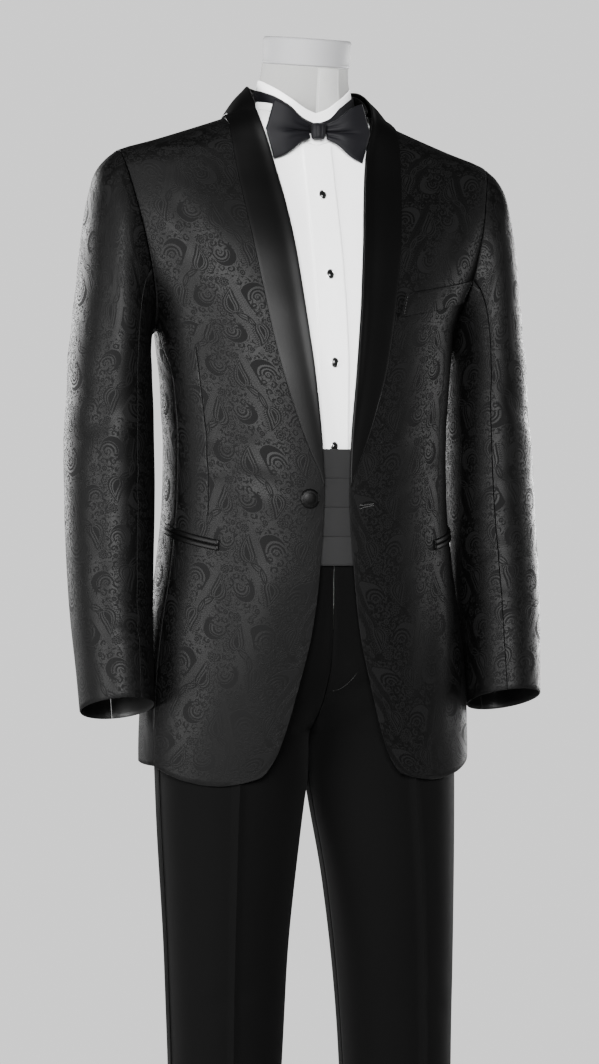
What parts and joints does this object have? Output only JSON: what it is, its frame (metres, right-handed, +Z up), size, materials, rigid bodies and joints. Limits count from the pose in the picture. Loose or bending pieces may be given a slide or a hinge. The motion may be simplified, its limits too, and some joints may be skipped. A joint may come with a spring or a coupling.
{
  "type": "tuxedo on a limbless dress form",
  "caption": "Men's dinner jacket with shawl collar, dress shirt, cummerbund, bow tie and trousers, worn by a limbless dress form on a round base.",
  "frame": {"origin": "centre of the round base's underside, on the floor", "axes": "+Z up, -Y to the front, +X to the wearer's left"},
  "size_m": [0.577, 0.41, 1.6105],
  "materials": {
    "jacquard": "jacquard with a paisley figure, black on charcoal",
    "satin": "black satin with a soft sheen",
    "wool": "fine matte black wool",
    "faille": "charcoal faille in horizontal folds",
    "tie_silk": "dark slate silk",
    "shirting": "crisp white cotton",
    "onyx": "polished black in a thin bright rim",
    "linen": "off-white linen over a firm form",
    "cap": "pale grey cover with a fine texture",
    "steel": "satin brushed"
  },
  "bodies": {
    "root": {"form_torso": "linen", "form_cap": "cap", "stand_base": "steel", "stand_pole": "steel", "jacket_front_left": "jacquard", "jacket_front_right": "jacquard", "jacket_side_left": "jacquard", "jacket_side_right": "jacquard", "jacket_back_left": "jacquard", "jacket_back_right": "jacquard", "sleeve_top_left": "jacquard", "sleeve_top_right": "jacquard", "sleeve_under_left": "jacquard", "sleeve_under_right": "jacquard", "shawl_collar_left": "satin", "shawl_collar_right": "satin", "collar_stand_left": "jacquard", "collar_stand_right": "jacquard", "chest_welt": "jacquard", "hip_jet_lower_left": "satin", "hip_jet_lower_right": "satin", "hip_jet_upper_left": "satin", "hip_jet_upper_right": "satin", "jacket_button": "satin", "shirt_front_left": "shirting", "shirt_front_right": "shirting", "shirt_back_left": "shirting", "shirt_back_right": "shirting", "shirt_placket": "shirting", "shirt_collar": "shirting", "stud_1": "onyx", "stud_2": "onyx", "stud_3": "onyx", "stud_4": "onyx", "bow_wing_left": "tie_silk", "bow_wing_right": "tie_silk", "bow_knot": "tie_silk", "bow_band": "tie_silk", "trouser_front_left": "wool", "trouser_front_right": "wool", "trouser_back_left": "wool", "trouser_back_right": "wool", "side_stripe_left": "satin", "side_stripe_right": "satin", "waistband": "wool", "sash_front": "faille", "sash_strap": "faille"}
  },
  "joints": []
}
